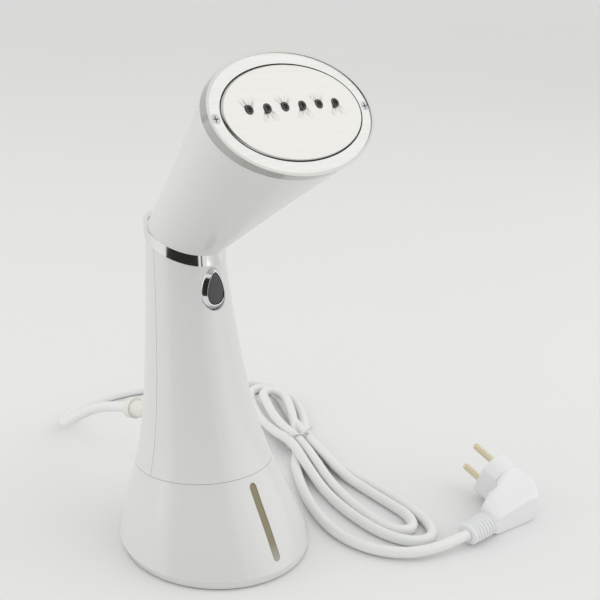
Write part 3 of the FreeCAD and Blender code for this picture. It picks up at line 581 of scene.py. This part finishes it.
class STEAMER_OT_finishes(bpy.types.Operator):
    """Finishes for the covers, the tank, the head, the plating and the inner pieces"""
    bl_idname = "steamer.finishes"
    bl_label = "Finishes"

    def execute(self, context):
        colours = context.scene.steamer_colours
        polished = {"grain": 1100, "depth": 0.000012, "cloud": 0.012}
        cover = moulded("cover_moulding", colours.body, 0.25, coat=0.35, **polished)
        tank = moulded("tank_moulding", colours.body, 0.23, coat=0.4, **polished)
        plating = metal("ring_plating", (0.83, 0.83, 0.83), 0.09, streak=0.02, depth=0.000004)
        rim = metal("rim_polish", (0.52, 0.52, 0.50), 0.14, (40, 300, 300), streak=0.05)
        brushed = metal("flange_brushing", (0.74, 0.74, 0.72), 0.3, (10, 700, 700),
                        depth=0.00004, streak=0.26)
        steel = metal("screw_steel", (0.50, 0.50, 0.51), 0.28)
        wire = metal("spring_wire", (0.52, 0.53, 0.54), 0.3)
        alloy = metal("cast_alloy", (0.55, 0.55, 0.55), 0.5, (90, 90, 90), depth=0.0001)
        brass = metal("pin_plating", (0.76, 0.69, 0.50), 0.22, (400, 400, 400),
                      depth=0.000003, streak=0.05)
        black = moulded("heatproof_black", (0.02, 0.02, 0.022), 0.5, grain=500)
        # Near-black rubber for the seals and the foot pad; on the plate gasket it is also painted
        # shade for the dark gap round the steam plate.
        rubber_and_gap_shade = moulded("seal_rubber", (0.03, 0.03, 0.032), 0.62, grain=300, depth=0.00005)
        natural = moulded("natural_plastic", (0.66, 0.65, 0.61), 0.42)
        hose = moulded("silicone_hose", (0.62, 0.60, 0.53), 0.4)
        copper = metal("copper_winding", (0.36, 0.15, 0.07), 0.4, (20, 20, 900),
                       depth=0.0001, streak=0.3)
        wrap = moulded("woven_wrap", (0.42, 0.41, 0.36), 0.85, grain=260, depth=0.0003)
        cream = moulded("gland_rubber", (0.79, 0.78, 0.73), 0.45, grain=500)
        cord = bpy.data.materials["cord_jacket"]
        worn_by = {
            cover: ("front_cover", "rear_cover", "head_shell"),
            tank: ("water_tank",),
            plating: ("neck_ring",), rim: ("face_rim",), brushed: ("face_flange",),
            steel: ("face_screws", "thermostat", "pump_yoke"),
            wire: ("trigger_spring", "pump_spring", "pump_armature", "heating_element"),
            alloy: ("boiler_block",), brass: ("plug_pins",),
            black: ("face_carrier", "thermal_fuse", "micro_switch", "trigger_guide"),
            rubber_and_gap_shade: ("plate_gasket", "mouth_seal", "foot_pad"),
            natural: ("tank_deck", "bulkhead", "switch_plunger", "switch_bracket", "inlet_filter",
                      "pump_core", "cord_clamp", "terminal_block"),
            hose: ("suction_tube", "inlet_hose", "outlet_hose"),
            copper: ("pump_coil",), wrap: ("insulation_jacket",), cream: ("cord_gland",),
            cord: ("cord_tail",), window_finish(colours.window): ("tank_window",),
        }
        for material, names in worn_by.items():
            for name in names:
                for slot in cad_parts[name].material_slots:
                    slot.material = material
        return {"FINISHED"}


# ---- stage ---------------------------------------------------------------------------------
class STEAMER_OT_stage(bpy.types.Operator):
    """Pale floor, soft studio light and the camera"""
    bl_idname = "steamer.stage"
    bl_label = "Stage"

    def execute(self, context):
        finish = Finish("floor_paper")
        clouds = finish.noise(3, 2)
        finish.varied("Base Color", finish.blend(clouds, (0.81, 0.81, 0.81, 1),
                                                 (0.83, 0.83, 0.83, 1)))
        finish.fixed(Roughness=0.6, Specular_IOR_Level=0.2)
        mesh = bmesh.new()
        bmesh.ops.create_grid(mesh, x_segments=2, y_segments=2, size=60)
        floor = made("floor", mesh, finish.material)
        self.card("dark_card", (-0.67, -0.585, 0.42), (1.775, 0.95), (0, 0.04, 0.42))
        self.card("dark_strip", (0.13, -1.16, 0.27), (0.07, 0.3), (0, 0.04, 0.27))

        world = bpy.data.worlds.new("studio")
        context.scene.world = world
        world.use_nodes = True
        sky = world.node_tree.nodes["Background"].inputs
        sky["Color"].default_value = (1.0, 1.0, 0.99, 1)
        sky["Strength"].default_value = 0.83
        self.lamp("right", (1.09, -0.92, 1.05), 6.6, 2.0)
        self.lamp("left", (-1.3, 0.9, 0.9), 5, 1.2)
        self.camera(context)
        context.scene.view_settings.view_transform = "Standard"
        return {"FINISHED"}

    @staticmethod
    def card(name, at, size, target):
        """A dark card that only reflections see."""
        mesh = bmesh.new()
        bmesh.ops.create_grid(mesh, x_segments=1, y_segments=1, size=0.5)
        bmesh.ops.scale(mesh, vec=(size[0], size[1], 1), verts=mesh.verts)
        aim = (Vector(target) - Vector(at)).to_track_quat("Z", "Y").to_matrix().to_4x4()
        placed(mesh, Matrix.Translation(at) @ aim)
        finish = Finish(name)
        finish.fixed(Base_Color=(0.01, 0.009, 0.008, 1), Roughness=0.9)
        obj = made(name, mesh, finish.material)
        obj.visible_camera = False
        obj.visible_diffuse = False
        obj.visible_shadow = False

    @staticmethod
    def lamp(name, at, power, size):
        data = bpy.data.lights.new(name, "AREA")
        data.energy = power
        data.size = size
        obj = bpy.data.objects.new(name, data)
        obj.location = at
        aim = Vector((0.03, 0.0, 0.12)) - Vector(at)
        obj.rotation_euler = aim.to_track_quat("-Z", "Y").to_euler()
        bpy.context.collection.objects.link(obj)

    @staticmethod
    def camera(context):
        data = bpy.data.cameras.new("camera")
        data.lens = 63.0
        data.sensor_width = 36.0
        data.clip_start = 0.01
        obj = bpy.data.objects.new("camera", data)
        right = Vector((0.7051, -0.7064, 0.0620))
        ahead = Vector((0.6843, 0.6549, -0.3206))
        up = right.cross(ahead)
        turn = Matrix((right, up, -ahead)).transposed().to_4x4()
        obj.matrix_world = Matrix.Translation((-0.3878, -0.4299, 0.3567)) @ turn
        context.collection.objects.link(obj)
        context.scene.camera = obj


class STEAMER_PT_panel(bpy.types.Panel):
    """Lists the steamer's pieces"""
    bl_idname = "STEAMER_PT_panel"
    bl_label = "Steamer"
    bl_space_type = "VIEW_3D"
    bl_region_type = "UI"
    bl_category = "Steamer"

    def draw(self, context):
        for group in (context.scene.steamer_sizes, context.scene.steamer_colours):
            for name in group.__annotations__:
                self.layout.prop(group, name)
        for step in STEPS:
            self.layout.operator("steamer." + step)


STEPS = ("stage", "tie", "plug", "cord", "plate", "nozzles", "trigger", "finishes")
CLASSES = (STEAMER_PG_sizes, STEAMER_PG_colours, STEAMER_OT_stage, STEAMER_OT_tie, STEAMER_OT_plug,
           STEAMER_OT_cord, STEAMER_OT_plate, STEAMER_OT_nozzles, STEAMER_OT_trigger,
           STEAMER_OT_finishes, STEAMER_PT_panel)


def register():
    for cls in CLASSES:
        bpy.utils.register_class(cls)
    bpy.types.Scene.steamer_sizes = PointerProperty(type=STEAMER_PG_sizes)
    bpy.types.Scene.steamer_colours = PointerProperty(type=STEAMER_PG_colours)


def unregister():
    del bpy.types.Scene.steamer_colours
    del bpy.types.Scene.steamer_sizes
    for cls in reversed(CLASSES):
        bpy.utils.unregister_class(cls)


def main():
    register()
    for step in STEPS:
        getattr(bpy.ops.steamer, step)()
    bpy.context.view_layer.update()


if __name__ == "__main__":
    main()
